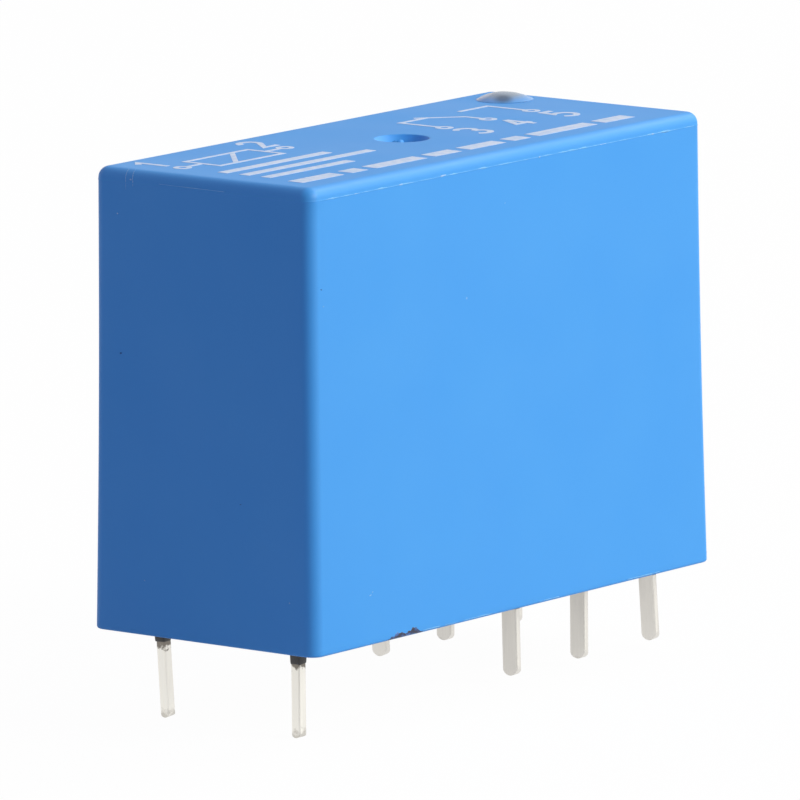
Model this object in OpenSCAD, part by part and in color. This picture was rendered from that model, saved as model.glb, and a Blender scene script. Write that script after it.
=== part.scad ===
// Sealed power relay for a printed circuit board, with one changeover contact, two coil pins and six
// contact pins.
// Millimetres, +Z up. The origin is the centre of the plane where the case's rim meets the board.
// The coil end is at -X, the contact end at +X, and the front long side faces -Y.

/* [Case] */
// Outside length of the case at its rim
case_length = 29; // [26:0.1:34]
// Outside width of the case at its rim
case_width = 12.6; // [11.3:0.1:15]
// Height of the case above the board
case_height = 20.6; // [18.5:0.1:26]
// Thickness of the case's side walls
case_wall = 0.9; // [0.6:0.05:1]
// Thickness of the case's roof
case_roof = 1; // [0.8:0.05:1.3]
// How far each wall leans in between the rim and the roof
wall_setback = 0.24; // [0:0.02:0.3]
// Radius of the case's upright corners
corner_radius = 0.6; // [0.5:0.05:1]
// Radius of the edge round the roof
roof_edge_radius = 0.5; // [0.2:0.05:0.6]

/* [Roof marks] */
// Diameter of the dish round the moulding gate
gate_dish_diameter = 2.4; // [1.6:0.1:3]
// Depth of the dish round the moulding gate
gate_dish_depth = 0.4; // [0.2:0.05:0.5]
// Diameter of the broken gate stub in the dish
gate_stub_diameter = 0.8; // [0.4:0.1:1.2]
// Height of the broken gate stub above the bottom of the dish
gate_stub_height = 0.2; // [0.1:0.05:0.3]
// Diameter of the vent hole in the roof
vent_hole_diameter = 0.8; // [0.5:0.1:1.4]
// Diameter of the resin drop over the vent hole
vent_seal_diameter = 2.5; // [1.8:0.1:3]
// Height of the resin drop above the roof
vent_seal_height = 0.35; // [0.2:0.05:0.5]
// Distance of the vent hole from the contact end of the roof
vent_end_inset = 2.15; // [1.8:0.05:4]
// Distance of the vent hole from the rear side of the roof
vent_side_inset = 2.45; // [1.8:0.05:4]

/* [Footprint] */
// Distance between the two rows of pins
row_spacing = 7.62; // [6.7:0.02:8.2]
// Distance from the coil pins to the nearest contact terminal
coil_to_contact = 15.24; // [14:0.02:16]
// Distance of the coil pins from the coil end of the case
coil_pin_inset = 1.95; // [1.9:0.05:2.6]
// Distance of the last contact terminal from the contact end of the case
contact_pin_inset = 1.65; // [1.6:0.05:2.2]
// Length of the contact pins below the rim
contact_pin_length = 3.7; // [3:0.1:5]
// Length of the coil pins below the rim
coil_pin_length = 4.05; // [3:0.05:5]
// Width of the contact pins
pin_width = 0.85; // [0.6:0.05:1]
// Radius of the long edges of all pins
pin_edge_radius = 0.1; // [0.04:0.01:0.12]
// Thickness of the contact terminals and their pins
blade_thickness = 0.35; // [0.25:0.05:0.45]
// Width of the coil pins across the relay
coil_pin_width = 0.5; // [0.4:0.05:0.7]
// Thickness of the coil pins along the relay
coil_pin_thickness = 0.5; // [0.4:0.05:0.7]
// How far the tip of the rear coil pin stands out of line
rear_coil_pin_offset = 0.3; // [0:0.02:0.4]
// How far the tip of the front normally closed pin stands out of line
front_nc_pin_offset = 0.1; // [0:0.02:0.4]
// How far the tip of the rear normally closed pin stands out of line
rear_nc_pin_offset = 0.36; // [0:0.02:0.4]
// How far the tip of the front normally open pin stands out of line
front_no_pin_offset = 0.3; // [0:0.02:0.4]

/* [Base and potting] */
// How far the potting lies inside the rim
potting_recess = 0.35; // [0.2:0.05:0.5]
// Thickness of the potting layer
potting_depth = 0.5; // [0.3:0.05:0.7]
// How far the potting runs down the coil pins below the rim
collar_reach = 0.8; // [0.4:0.1:1.2]
// How far the potting runs down the contact pins below the rim
contact_collar_reach = 0.65; // [0.3:0.05:1]
// Thickness of the potting film on the pins
collar_film = 0.06; // [0.03:0.01:0.1]
// Width of the potting fillet round each pin
collar_fillet = 0.25; // [0.1:0.05:0.3]
// Thickness of the base's floor
base_floor = 1.6; // [1.2:0.1:1.8]
// Thickness of the insulating wall between coil and contacts
wall_thickness = 0.8; // [0.6:0.05:0.9]
// Length of the two rails under the card
rail_length = 2.4; // [1.6:0.1:2.8]
// Width of the two rails under the card
rail_width = 1; // [0.7:0.1:1.1]

/* [Coil] */
// Diameter of the iron core
core_diameter = 4; // [3.4:0.1:4.4]
// How far the core's pole stays inside the edges of the bobbin's flanges
pole_margin = 1.25; // [0.8:0.05:1.8]
// Thickness of the core's pole
pole_thickness = 1; // [0.8:0.05:1.2]
// Wall of the bobbin's barrel
barrel_wall = 0.6; // [0.4:0.05:0.8]
// How far the bobbin's top flange reaches past the coil pins
flange_overhang = 0.1; // [0:0.05:0.4]
// Gap between the bobbin's flanges and the sides of the case
flange_gap = 0.32; // [0.2:0.02:0.6]
// Thickness of the bobbin's flanges
flange_thickness = 0.8; // [0.6:0.05:0.9]
// How far the winding stays inside the edges of the bobbin's flanges
winding_margin = 0.35; // [0.25:0.05:0.8]
// Thickness of the tape round the winding
tape_thickness = 0.12; // [0.06:0.02:0.16]
// Diameter of the twisted winding ends
lead_diameter = 0.2; // [0.12:0.02:0.24]

/* [Yoke and armature] */
// Thickness of the yoke
yoke_thickness = 1.2; // [1:0.05:1.3]
// Width of the yoke
yoke_width = 8.6; // [7.7:0.1:9.4]
// Thickness of the armature
armature_thickness = 1.1; // [0.9:0.05:1.2]
// Width of the armature over the pole
armature_width = 8; // [7:0.1:8.8]
// Width of the armature at its hinge and leg
hinge_width = 6; // [5.2:0.1:6.4]
// Angle that the armature stands open at rest, in degrees
armature_opening = 5; // [3:0.5:5.5]
// Height of the free space above the open armature
armature_headroom = 1; // [0.7:0.05:1.4]
// Free length beside the armature's leg, for its spring and its swing
leg_room = 1.65; // [1.4:0.05:2]
// Radius of the yoke's edge that the armature rocks on
pivot_radius = 0.3; // [0.2:0.05:0.4]
// Thickness of the armature's return spring
return_spring_thickness = 0.12; // [0.08:0.02:0.16]
// Width of the armature's return spring
return_spring_width = 2; // [1.4:0.1:2.2]

/* [Card] */
// Distance from the armature's hinge down to the middle of the card
card_drop = 4.55; // [4.1:0.05:5]
// Height of the card
card_height = 1.4; // [1.2:0.05:1.6]
// Width of the card
card_width = 6.8; // [6.1:0.1:7.5]

/* [Contacts] */
// Thickness of the moving contact spring
spring_thickness = 0.2; // [0.15:0.01:0.25]
// Width of the moving contact spring
spring_width = 5; // [4.5:0.1:5.6]
// Height of the common terminal's plate above the base
spring_seat_height = 3.6; // [3.2:0.1:4]
// Distance from the middle of the card up to the contacts
contact_rise = 2.8; // [2.5:0.05:3.1]
// Diameter of the contact heads
contact_diameter = 2.8; // [2.4:0.1:3]
// Height of the contact heads
contact_height = 0.5; // [0.4:0.05:0.6]
// Radius of the moving contact's crown
contact_crown = 6; // [4:0.5:10]
// Width of the fixed contact blades
fixed_blade_width = 4; // [3.6:0.1:4.4]
// Height of the step in the fixed contact blades above the base
step_height = 1.9; // [1.7:0.1:2.4]

/* [Clearances] */
// Gap round pieces that are pressed or slid together
slip_gap = 0.03; // [0.02:0.01:0.06]
// Gap between the base and the case
base_gap = 0.1; // [0.05:0.01:0.15]
// Gap between pieces that push each other or touch when the relay switches
touch_gap = 0.03; // [0.02:0.01:0.05]
// Gap between pieces that pass each other
pass_gap = 0.3; // [0.2:0.02:0.34]

/* [Hidden] */

$fn = 48;
hull_fn = 32;
skim = 0.01;
bend_steps = 6;
both = [-1, 1];

// Small features of the moulded and stamped pieces
moulded_corner = 0.5;
room_corner = 0.3;
lug_margin = 0.8;
crossbar_height = 1.2;
bend_radius = 0.55;
yoke_bend_radius = 0.9;
ear_rise = 0.9;
spigot_diameter = 3;
pole_chamfer = 0.2;
coil_pin_rise = 1.9;
lead_rise = 0.35;
lead_turns = 4;
lead_turn_height = 0.16;
solder_height = 0.6;
tape_bottom_margin = 0.8;
tape_top_margin = 0.2;
rivet_spacing = 3;
rivet_shank = 1;
rivet_head = 1.7;
rivet_head_height = 0.3;
contact_shank = 1.4;
contact_tail = 2;
contact_tail_height = 0.25;
stake_diameter = 1.2;
stake_height = 0.3;
slot_width = 0.9;

// Heights, from the board up
base_z = potting_recess + potting_depth;
floor_z = base_z + base_floor;
foot_top_z = floor_z + yoke_thickness;
flange_top_z = foot_top_z + flange_thickness;
lead_z = flange_top_z + lead_rise;
flex_z = floor_z + spring_seat_height;
step_z = floor_z + step_height;
room_top_z = case_height - case_roof;

// Half sizes of the case's outside, and of the room inside it, at a height
function case_half_x(z) = case_length / 2 - wall_setback * z / case_height;
function case_half_y(z) = case_width / 2 - wall_setback * z / case_height;
function room_half_x(z) = case_half_x(z) - case_wall;
function room_half_y(z) = case_half_y(z) - case_wall;

// Places along the relay: the pins at both ends of the case, and the contacts and the yoke between them
coil_pin_x = coil_pin_inset - case_length / 2;
nc_x = coil_pin_x + coil_to_contact;
no_x = case_length / 2 - contact_pin_inset;
com_x = (nc_x + no_x) / 2;
spring_x = com_x - (blade_thickness + spring_thickness) / 2;
wall_out_x = nc_x - blade_thickness / 2 - pass_gap;
wall_in_x = wall_out_x - wall_thickness;
leg_out_x = wall_in_x - leg_room;
leg_in_x = leg_out_x - armature_thickness;
yoke_out_x = leg_in_x - touch_gap;
yoke_in_x = yoke_out_x - yoke_thickness;
pivot_x = yoke_out_x - pivot_radius;
lug_x = coil_pin_x - lug_margin;
yoke_foot_x = lug_x + 2 * lug_margin + pass_gap;
vent_x = case_half_x(case_height) - vent_end_inset;
vent_y = case_half_y(case_height) - vent_side_inset;

// Coil, which fills the room between the coil pins, the yoke and the sides of the case
flange_left_x = coil_pin_x - flange_overhang;
flange_right_x = yoke_in_x - slip_gap;
flange_foot_x = flange_right_x - yoke_bend_radius + yoke_thickness / 2;
flange_length = flange_right_x - flange_left_x;
flange_width = 2 * (room_half_y(room_top_z) - flange_gap);
lug_width = flange_width - row_spacing;
coil_x = (flange_left_x + flange_right_x) / 2;
coil_offset = coil_x - coil_pin_x;
coil_span = min(flange_length, flange_width);
winding_diameter = coil_span - 2 * winding_margin;
pole_diameter = coil_span - 2 * pole_margin;

// Heights, from the roof down past the open armature
bend_inside = pivot_radius + touch_gap;
bend_outside = bend_inside + armature_thickness;
lid_length = pivot_x - coil_x + pole_diameter / 2 + pass_gap;
pivot_z = room_top_z - armature_headroom - lid_length * sin(armature_opening)
    - bend_outside * cos(armature_opening);
pole_z = pivot_z + pivot_radius;
bobbin_top_z = pole_z - pole_thickness;
winding_top_z = bobbin_top_z - flange_thickness;
card_z = pivot_z - card_drop;
card_bottom_z = card_z - card_height / 2;
leg_tip_z = card_bottom_z - touch_gap;
contact_z = card_z + contact_rise;
blade_top_z = contact_z + fixed_blade_width / 2;

// Return spring, from the back of the yoke up to the armature's leg
spring_foot_x = yoke_out_x + return_spring_thickness / 2;
spring_free_x = leg_out_x + touch_gap + return_spring_thickness / 2;
jog_end_z = leg_tip_z - pass_gap;
jog_start_z = jog_end_z - (spring_free_x - spring_foot_x);
stake_z = (flex_z + jog_start_z) / 2;

// Travel of the card and of the moving contact when the coil pulls the armature in
card_travel = card_drop * armature_opening * PI / 180;
flex_angle = card_travel / (card_z - flex_z) * 180 / PI;
contact_face = spring_thickness / 2 + contact_height;
contact_reach = (contact_face - contact_crown) * cos(flex_angle) + (contact_z - flex_z) * sin(flex_angle)
    + contact_crown;
nc_face_x = spring_x - contact_face - touch_gap;
no_face_x = spring_x + contact_reach + touch_gap;
nc_blade_x = nc_face_x - contact_height - blade_thickness / 2;
no_blade_x = no_face_x + contact_height + blade_thickness / 2;

// Card, between the armature's leg and the moving spring
card_start_x = leg_out_x + touch_gap;
card_end_x = spring_x - spring_thickness / 2 - touch_gap;
card_nose = card_height / 2;
window_start_x = nc_blade_x - blade_thickness / 2 - card_travel - pass_gap;
window_end_x = nc_blade_x + blade_thickness / 2 + pass_gap;
window_width = fixed_blade_width + 2 * pass_gap;
notch_width = return_spring_width + 2 * pass_gap;
notch_depth = return_spring_thickness + card_travel + pass_gap;

// Coil leads, from the winding to the coil pins
lead_reach = norm([coil_offset, row_spacing / 2]);
lead_start = winding_diameter / 2 + touch_gap;
wrap_radius = norm([coil_pin_width, coil_pin_thickness]) / 2 + lead_diameter / 2 + skim;
wrap_height = (lead_turns - 1) * lead_turn_height;

// A profile in X and Z, drawn out across the relay
module across(width) {
    rotate([90, 0, 0]) linear_extrude(width, center = true) children();
}

// A profile in Y and Z, drawn out along the relay
module along(length) {
    rotate([90, 0, 90]) linear_extrude(length, center = true) children();
}

// A turned shape that lies along the relay
module turned_along() {
    rotate([0, 90, 0]) children();
}

module rounded_rectangle(length, width, corner) {
    square([length - 2 * corner, width], center = true);
    square([length, width - 2 * corner], center = true);
    for (x = both, y = both)
        translate([x * (length / 2 - corner), y * (width / 2 - corner)]) circle(corner);
}

// Outline of a bent strip: its middle line with rounded bends, moved out to both faces
function unit(v) = v / norm(v);
function left_of(v) = [-v[1], v[0]];
function turned(v, a) = [v[0] * cos(a) - v[1] * sin(a), v[0] * sin(a) + v[1] * cos(a)];
function turn_angle(a, b) = atan2(a[0] * b[1] - a[1] * b[0], a * b);
function bend(path, i, radius) =
    let (
        d = unit(path[i] - path[i - 1]),
        angle = turn_angle(d, path[i + 1] - path[i]),
        start = path[i] - d * radius * tan(abs(angle) / 2),
        centre = start + sign(angle) * radius * left_of(d)
    )
    [for (k = [0:bend_steps])
        let (side = turned(left_of(d), angle * k / bend_steps))
        [centre - sign(angle) * radius * side, side]];
function strip_line(path, radius) =
    let (last = len(path) - 1)
    concat(
        [[path[0], left_of(unit(path[1] - path[0]))]],
        [for (i = [1:last - 1]) each bend(path, i, radius)],
        [[path[last], left_of(unit(path[last] - path[last - 1]))]]
    );

module strip(path, thickness, radius) {
    line = strip_line(path, radius);
    polygon(concat(
        [for (p = line) p[0] + p[1] * thickness / 2],
        [for (k = [len(line) - 1:-1:0]) line[k][0] - line[k][1] * thickness / 2]
    ));
}

// Case

module drafted_corner(x, y, z, inset, corner) {
    translate([x * (case_half_x(z) - inset - corner), y * (case_half_y(z) - inset - corner), z]) children();
}

module corner_top(corner, edge) {
    rotate_extrude($fn = hull_fn)
        intersection() {
            translate([corner - edge, 0]) circle(edge, $fn = hull_fn);
            square([corner, edge]);
        }
}

// Upright block that follows the case's draft, a given distance inside its outer face
module drafted_block(inset, top, corner, edge) {
    hull()
        for (x = both, y = both) {
            drafted_corner(x, y, -case_roof, inset, corner) cylinder(r = corner, h = skim, $fn = hull_fn);
            drafted_corner(x, y, top - edge, inset, corner) corner_top(corner, edge);
        }
}

module gate_dish() {
    translate([0, 0, case_height - gate_dish_depth])
        cylinder(d1 = gate_dish_diameter - gate_dish_depth, d2 = gate_dish_diameter,
            h = gate_dish_depth + skim);
}

module case() {
    color("#4a8fdc") {
        difference() {
            drafted_block(0, case_height, corner_radius, roof_edge_radius);
            drafted_block(case_wall, room_top_z, room_corner, room_corner);
            translate([-case_length, -case_width, -2 * case_roof])
                cube([2 * case_length, 2 * case_width, 2 * case_roof]);
            gate_dish();
            translate([vent_x, vent_y, room_top_z - skim])
                cylinder(d = vent_hole_diameter, h = case_roof + 2 * skim);
        }
        translate([0, 0, case_height - gate_dish_depth - skim])
            cylinder(d1 = gate_stub_diameter, d2 = gate_stub_diameter / 2, h = gate_stub_height + skim);
    }
}

module vent_seal() {
    drop_radius = (pow(vent_seal_diameter / 2, 2) + pow(vent_seal_height, 2)) / (2 * vent_seal_height);
    color("#8f8f99")
        translate([vent_x, vent_y, case_height]) {
            intersection() {
                translate([0, 0, vent_seal_height - drop_radius]) sphere(drop_radius);
                cylinder(d = 2 * vent_seal_diameter, h = 2 * vent_seal_height);
            }
            translate([0, 0, -case_roof]) cylinder(d = vent_hole_diameter - 2 * skim, h = case_roof + skim);
        }
}

// Pins and terminals

// A pin with rounded edges and a round tip, which leans out of line from the rim down by its tip's offset
module pin(x, side, width, thickness, length, top, tip_offset) {
    round_z = width / 2 - length;
    translate([x, side * row_spacing / 2, 0]) {
        linear_extrude(top) rounded_rectangle(thickness, width, pin_edge_radius);
        rotate([0, -atan(tip_offset / length), 0])
            intersection() {
                translate([0, 0, -length])
                    linear_extrude(length + pin_edge_radius)
                        rounded_rectangle(thickness, width, pin_edge_radius);
                along(2 * thickness) {
                    translate([-width / 2, round_z]) square([width, pin_edge_radius - round_z]);
                    translate([0, round_z]) circle(d = width);
                }
            }
    }
}

module contact_pins(x, front_offset, rear_offset) {
    for (side = both)
        pin(x, side, pin_width, blade_thickness, contact_pin_length, floor_z + skim,
            side < 0 ? front_offset : rear_offset);
}

module coil_pin(side, tip_offset) {
    pin(coil_pin_x, side, coil_pin_width, coil_pin_thickness, coil_pin_length,
        flange_top_z + coil_pin_rise, tip_offset);
}

module all_pins() {
    contact_pins(nc_x, front_nc_pin_offset, rear_nc_pin_offset);
    contact_pins(com_x, 0, 0);
    contact_pins(no_x, front_no_pin_offset, 0);
    coil_pin(-1, 0);
    coil_pin(1, rear_coil_pin_offset);
}

// Straight shafts round the pins, wider than them by a gap on each side
module pin_shafts(gap, low, high) {
    for (side = both) {
        for (x = [nc_x, com_x, no_x])
            pin_shaft(x, side, blade_thickness + 2 * gap, pin_width + 2 * gap, low, high);
        pin_shaft(coil_pin_x, side, coil_pin_thickness + 2 * gap, coil_pin_width + 2 * gap, low, high);
    }
}

module pin_shaft(x, side, thickness, width, low, high) {
    translate([x - thickness / 2, side * row_spacing / 2 - width / 2, low])
        cube([thickness, width, high - low]);
}

// Plate that joins the two pins of a terminal above the base
module crossbar(x) {
    translate([x - blade_thickness / 2, -(row_spacing + pin_width) / 2, floor_z])
        cube([blade_thickness, row_spacing + pin_width, crossbar_height]);
}

// Terminal of a fixed contact: it steps from its pins to the blade that holds the contact
module fixed_terminal(x, blade_x, front_offset, rear_offset) {
    difference() {
        union() {
            contact_pins(x, front_offset, rear_offset);
            crossbar(x);
            intersection() {
                across(fixed_blade_width)
                    strip([[x, floor_z], [x, step_z], [blade_x, step_z], [blade_x, blade_top_z]],
                        blade_thickness, bend_radius);
                along(2 * case_length) {
                    translate([-fixed_blade_width / 2, floor_z])
                        square([fixed_blade_width, contact_z - floor_z]);
                    translate([0, contact_z]) circle(d = fixed_blade_width);
                }
            }
        }
        translate([blade_x - blade_thickness, 0, contact_z])
            turned_along() cylinder(d = contact_shank + 2 * skim, h = 2 * blade_thickness);
    }
}

// Rivet contact on a fixed blade, with its face towards the moving contact at +X
module fixed_contact() {
    turned_along() {
        translate([0, 0, -contact_height]) cylinder(d = contact_diameter, h = contact_height);
        translate([0, 0, -contact_height - blade_thickness])
            cylinder(d = contact_shank, h = blade_thickness);
        translate([0, 0, -contact_height - blade_thickness - contact_tail_height])
            cylinder(d1 = contact_shank, d2 = contact_tail, h = contact_tail_height);
    }
}

module nc_terminal() {
    color("#c9a36b") fixed_terminal(nc_x, nc_blade_x, front_nc_pin_offset, rear_nc_pin_offset);
}

module no_terminal() {
    color("#c9a36b") fixed_terminal(no_x, no_blade_x, front_no_pin_offset, 0);
}

module nc_contact() {
    color("#d8d8d4") translate([nc_face_x, 0, contact_z]) fixed_contact();
}

module no_contact() {
    color("#d8d8d4") translate([no_face_x, 0, contact_z]) mirror([1, 0, 0]) fixed_contact();
}

// Places of the two rivets that hold the moving spring on its terminal
module at_spring_rivets() {
    for (side = both)
        translate([0, side * rivet_spacing / 2, (floor_z + flex_z) / 2]) turned_along() children();
}

module com_terminal() {
    color("#c9a36b")
        difference() {
            union() {
                contact_pins(com_x, 0, 0);
                crossbar(com_x);
                translate([com_x, 0, 0])
                    along(blade_thickness)
                        translate([-spring_width / 2, floor_z]) square([spring_width, flex_z - floor_z]);
            }
            translate([com_x, 0, 0])
                at_spring_rivets()
                    cylinder(d = rivet_shank + 2 * skim, h = 2 * blade_thickness, center = true);
        }
}

module moving_spring() {
    spring_foot_z = floor_z + pass_gap;
    shoulder_z = card_z + card_nose;
    slot_z = flex_z + slot_width;
    color("#b87a3d")
        translate([spring_x, 0, 0])
            difference() {
                along(spring_thickness)
                    difference() {
                        union() {
                            translate([-spring_width / 2, spring_foot_z])
                                square([spring_width, shoulder_z - spring_foot_z]);
                            translate([-fixed_blade_width / 2, spring_foot_z])
                                square([fixed_blade_width, contact_z - spring_foot_z]);
                            translate([0, contact_z]) circle(d = fixed_blade_width);
                        }
                        translate([-slot_width / 2, slot_z])
                            square([slot_width, card_bottom_z - slot_width - slot_z]);
                    }
                at_spring_rivets()
                    cylinder(d = rivet_shank + 2 * skim, h = 2 * spring_thickness, center = true);
                translate([0, 0, contact_z])
                    turned_along()
                        cylinder(d = contact_shank + 2 * skim, h = 2 * spring_thickness, center = true);
            }
}

module spring_rivets() {
    stack_start = spring_x - spring_thickness / 2;
    stack = spring_thickness + blade_thickness;
    color("#c7c2b4")
        translate([stack_start, 0, 0])
            at_spring_rivets() {
                cylinder(d = rivet_shank, h = stack);
                translate([0, 0, -rivet_head_height]) cylinder(d = rivet_head, h = rivet_head_height);
                translate([0, 0, stack]) cylinder(d1 = rivet_head, d2 = rivet_shank, h = rivet_head_height);
            }
}

module crowned_head() {
    intersection() {
        cylinder(d = contact_diameter, h = contact_height);
        translate([0, 0, contact_height - contact_crown]) sphere(contact_crown);
    }
}

module moving_contact() {
    color("#d8d8d4")
        translate([spring_x, 0, contact_z])
            turned_along() {
                cylinder(d = contact_shank, h = spring_thickness, center = true);
                translate([0, 0, spring_thickness / 2]) crowned_head();
                mirror([0, 0, 1]) translate([0, 0, spring_thickness / 2]) crowned_head();
            }
}

module coil_pin_front() {
    color("#cfcac0") coil_pin(-1, 0);
}

module coil_pin_rear() {
    color("#cfcac0") coil_pin(1, rear_coil_pin_offset);
}

// Base and potting

module card_window() {
    translate([wall_in_x - skim, -card_width / 2 - touch_gap, card_bottom_z - touch_gap])
        cube([wall_thickness + 2 * skim, card_width + 2 * touch_gap, card_height + 2 * touch_gap]);
}

module rails() {
    rail_z = card_bottom_z - touch_gap;
    for (side = both)
        translate([wall_out_x, side * (card_width - rail_width) / 2, rail_z])
            across(rail_width)
                polygon([[-skim, 0], [rail_length, 0],
                    [rail_length, -rail_width / 2], [-skim, -2 * rail_width]]);
}

module base() {
    wall_half_y = room_half_y(pole_z) - pass_gap;
    color("#2c2c30")
        difference() {
            union() {
                translate([0, 0, base_z])
                    linear_extrude(base_floor)
                        rounded_rectangle(2 * (room_half_x(floor_z) - base_gap),
                            2 * (room_half_y(floor_z) - base_gap), moulded_corner);
                translate([wall_in_x, -wall_half_y, floor_z - skim])
                    cube([wall_thickness, 2 * wall_half_y, pole_z - floor_z + skim]);
                rails();
            }
            card_window();
            pin_shafts(slip_gap, base_z - skim, floor_z + skim);
        }
}

module potting() {
    color("#1b1b1d")
        difference() {
            union() {
                translate([0, 0, potting_recess])
                    linear_extrude(potting_depth)
                        rounded_rectangle(2 * (room_half_x(base_z) - skim),
                            2 * (room_half_y(base_z) - skim), moulded_corner);
                for (side = both) {
                    for (x = [nc_x, com_x, no_x])
                        collar(x, side, blade_thickness, pin_width, contact_collar_reach);
                    collar(coil_pin_x, side, coil_pin_thickness, coil_pin_width, collar_reach);
                }
            }
            all_pins();
        }
}

// Film of potting down a pin, with a fillet where it leaves the layer
module collar(x, side, thickness, width, reach) {
    fillet_height = potting_recess + reach / 2;
    pin_shaft(x, side, thickness + 2 * collar_film, width + 2 * collar_film,
        -reach, potting_recess + skim);
    translate([x, side * row_spacing / 2, potting_recess - fillet_height])
        cylinder(d1 = width, d2 = width + 2 * collar_fillet, h = fillet_height + skim);
}

// Coil

module bobbin() {
    color("#e6dfcc")
        difference() {
            union() {
                translate([coil_x, 0, foot_top_z])
                    cylinder(d = core_diameter + 2 * barrel_wall, h = bobbin_top_z - foot_top_z);
                translate([coil_x, 0, winding_top_z])
                    linear_extrude(flange_thickness)
                        rounded_rectangle(flange_length, flange_width, moulded_corner);
                translate([(lug_x + flange_foot_x) / 2, 0, foot_top_z])
                    linear_extrude(flange_thickness)
                        rounded_rectangle(flange_foot_x - lug_x, flange_width, moulded_corner);
                for (side = both)
                    translate([lug_x, side * row_spacing / 2 - lug_width / 2, floor_z])
                        cube([2 * lug_margin, lug_width, yoke_thickness + skim]);
            }
            translate([coil_x, 0, floor_z])
                cylinder(d = core_diameter + 2 * slip_gap, h = case_height);
            pin_shafts(slip_gap, floor_z - skim, flange_top_z + skim);
        }
}

module tube(inside, outside, low, high) {
    translate([coil_x, 0, low])
        difference() {
            cylinder(d = outside, h = high - low);
            translate([0, 0, -skim]) cylinder(d = inside, h = high - low + 2 * skim);
        }
}

module coil_winding() {
    color("#a8542a")
        tube(core_diameter + 2 * barrel_wall + 2 * skim, winding_diameter, flange_top_z, winding_top_z);
}

module coil_tape() {
    tape_inside = winding_diameter + 2 * skim;
    color("#d9b43a")
        tube(tape_inside, tape_inside + 2 * tape_thickness, flange_top_z + tape_bottom_margin,
            winding_top_z - tape_top_margin);
}

module coil_lead(side) {
    color("#b5652f") {
        translate([coil_x, 0, lead_z])
            rotate([0, 0, atan2(side * row_spacing / 2, -coil_offset)])
                translate([lead_start, 0, 0])
                    turned_along() cylinder(d = lead_diameter, h = lead_reach - lead_start - wrap_radius);
        translate([coil_pin_x, side * row_spacing / 2, lead_z])
            rotate_extrude() {
                for (k = [0:lead_turns - 1])
                    translate([wrap_radius, k * lead_turn_height]) circle(d = lead_diameter);
            }
    }
}

module coil_lead_front() {
    coil_lead(-1);
}

module coil_lead_rear() {
    coil_lead(1);
}

module coil_solder_joints() {
    solder_z = lead_z + wrap_height + lead_diameter / 2 + skim;
    solder_diameter = 2 * wrap_radius + lead_diameter;
    color("#b9bcc2")
        difference() {
            for (side = both)
                translate([coil_pin_x, side * row_spacing / 2, solder_z])
                    cylinder(d1 = solder_diameter, d2 = 2 * wrap_radius, h = solder_height);
            pin_shafts(0, solder_z - skim, solder_z + solder_height + skim);
        }
}

module core() {
    color("#a9adb3")
        translate([coil_x, 0, 0]) {
            translate([0, 0, floor_z]) cylinder(d = spigot_diameter, h = yoke_thickness + skim);
            translate([0, 0, foot_top_z]) cylinder(d = core_diameter, h = bobbin_top_z - foot_top_z + skim);
            translate([0, 0, bobbin_top_z])
                cylinder(d = pole_diameter, h = pole_thickness - pole_chamfer);
            translate([0, 0, pole_z - pole_chamfer])
                cylinder(d1 = pole_diameter, d2 = pole_diameter - 2 * pole_chamfer, h = pole_chamfer);
        }
}

// Yoke and armature

module yoke() {
    middle_x = (yoke_in_x + yoke_out_x) / 2;
    middle_z = floor_z + yoke_thickness / 2;
    ear_width = (yoke_width - hinge_width) / 2 - touch_gap;
    color("#b4b6b2") {
        difference() {
            across(yoke_width) {
                strip([[yoke_foot_x, middle_z], [middle_x, middle_z], [middle_x, pivot_z]],
                    yoke_thickness, yoke_bend_radius);
                translate([yoke_in_x, pivot_z - skim])
                    square([yoke_thickness - pivot_radius, pivot_radius + skim]);
                translate([pivot_x, pivot_z]) circle(pivot_radius);
            }
            translate([coil_x, 0, floor_z - skim])
                cylinder(d = spigot_diameter + 2 * skim, h = yoke_thickness + 2 * skim);
        }
        for (side = both)
            translate([yoke_in_x, (side * (yoke_width - ear_width) - ear_width) / 2,
                    pivot_z - pole_thickness])
                cube([yoke_thickness, ear_width, pole_thickness + pivot_radius + ear_rise]);
        translate([yoke_out_x - skim, 0, stake_z])
            turned_along()
                cylinder(d = stake_diameter, h = return_spring_thickness + stake_height + skim);
    }
}

// Side view of the armature about its hinge, with its lid level and its leg swung out
module armature_lid() {
    translate([-lid_length, bend_inside]) square([lid_length, armature_thickness]);
}

module armature_side_view() {
    wide = 2 * bend_outside;
    armature_lid();
    intersection() {
        difference() {
            circle(bend_outside);
            circle(bend_inside);
        }
        polygon([[0, 0], wide * [cos(armature_opening), sin(armature_opening)], [wide, wide], [0, wide]]);
    }
    rotate(armature_opening)
        translate([bend_inside, leg_tip_z - pivot_z]) square([armature_thickness, pivot_z - leg_tip_z]);
}

module armature() {
    hinge_reach = yoke_thickness - pivot_radius + pass_gap + armature_thickness * sin(armature_opening);
    color("#b4b6b2")
        translate([pivot_x, 0, pivot_z]) {
            across(hinge_width) rotate(-armature_opening) armature_side_view();
            across(armature_width)
                rotate(-armature_opening)
                    difference() {
                        armature_lid();
                        translate([-hinge_reach, 0]) square(2 * bend_outside);
                    }
        }
}

module return_spring() {
    color("#c9b98f")
        difference() {
            across(return_spring_width)
                strip([[spring_foot_x, flex_z], [spring_foot_x, jog_start_z], [spring_free_x, jog_end_z],
                    [spring_free_x, contact_z]], return_spring_thickness, pass_gap);
            translate([yoke_out_x - skim, 0, stake_z])
                turned_along()
                    cylinder(d = stake_diameter + 2 * skim, h = return_spring_thickness + 2 * skim);
        }
}

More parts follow.
